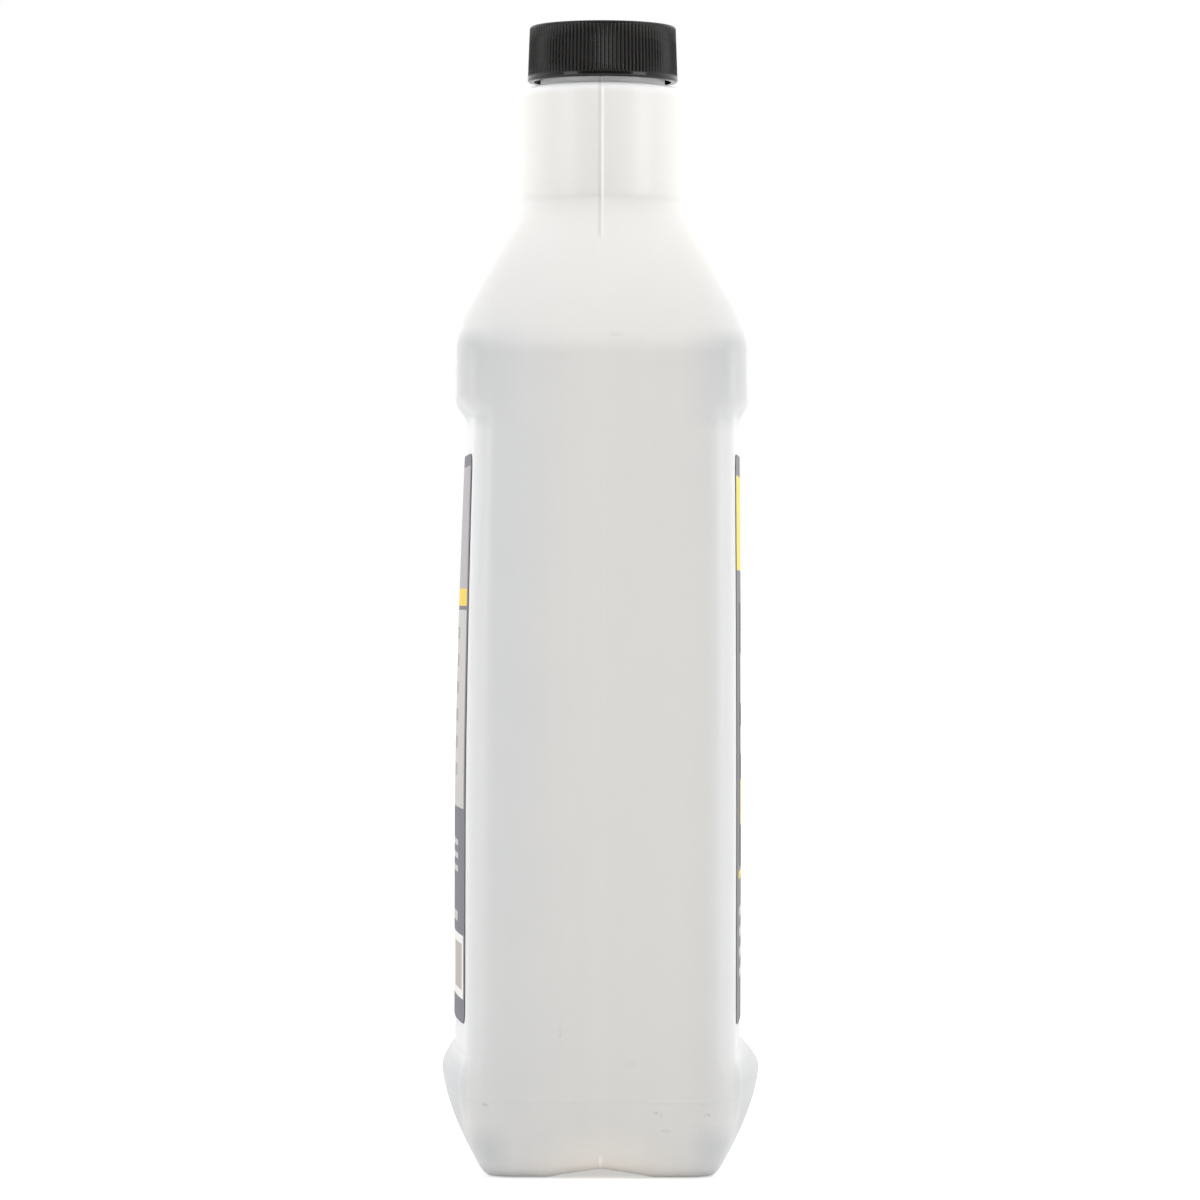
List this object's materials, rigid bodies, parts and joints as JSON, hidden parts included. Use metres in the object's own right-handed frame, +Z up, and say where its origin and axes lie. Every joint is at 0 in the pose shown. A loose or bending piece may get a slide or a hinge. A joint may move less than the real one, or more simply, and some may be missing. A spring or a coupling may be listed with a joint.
{
  "type": "motor oil bottle",
  "caption": "Oblong white plastic oil bottle with sloping shoulders, recessed label panels, round threaded neck and ribbed black screw cap.",
  "frame": {"origin": "middle of the underside, on the surface that the bottle stands on", "axes": "+Z up along the neck, X along the broad faces, -Y towards the front label, +Y towards the back label; the picture looks at a narrow end"},
  "size_m": [0.105, 0.064, 0.2286],
  "materials": {
    "bottle_plastic": "satin, slightly translucent white",
    "label_print": "printed film, satin",
    "cap_plastic": "satin black",
    "liner_foam": "matt"
  },
  "bodies": {
    "bottle": {"bottle": "bottle_plastic", "front_label": "label_print", "back_label": "label_print"},
    "cap_carrier": {"cap_liner": "liner_foam"},
    "cap": {"cap": "cap_plastic"}
  },
  "joints": [
    {"name": "cap_rise", "type": "slide", "parent": "bottle", "child": "cap_carrier", "axis": [0, 0, 1], "range_m": [0, 0.0128]},
    {"name": "cap_turn", "type": "hinge", "parent": "cap_carrier", "child": "cap", "pos_m": [0, 0, 0.222], "axis": [0, 0, 1], "range_deg": [0, 1080]}
  ],
  "couplings": [
    {"joint": "cap_rise", "follows": "cap_turn", "m_per_rad": 0.00067376}
  ]
}
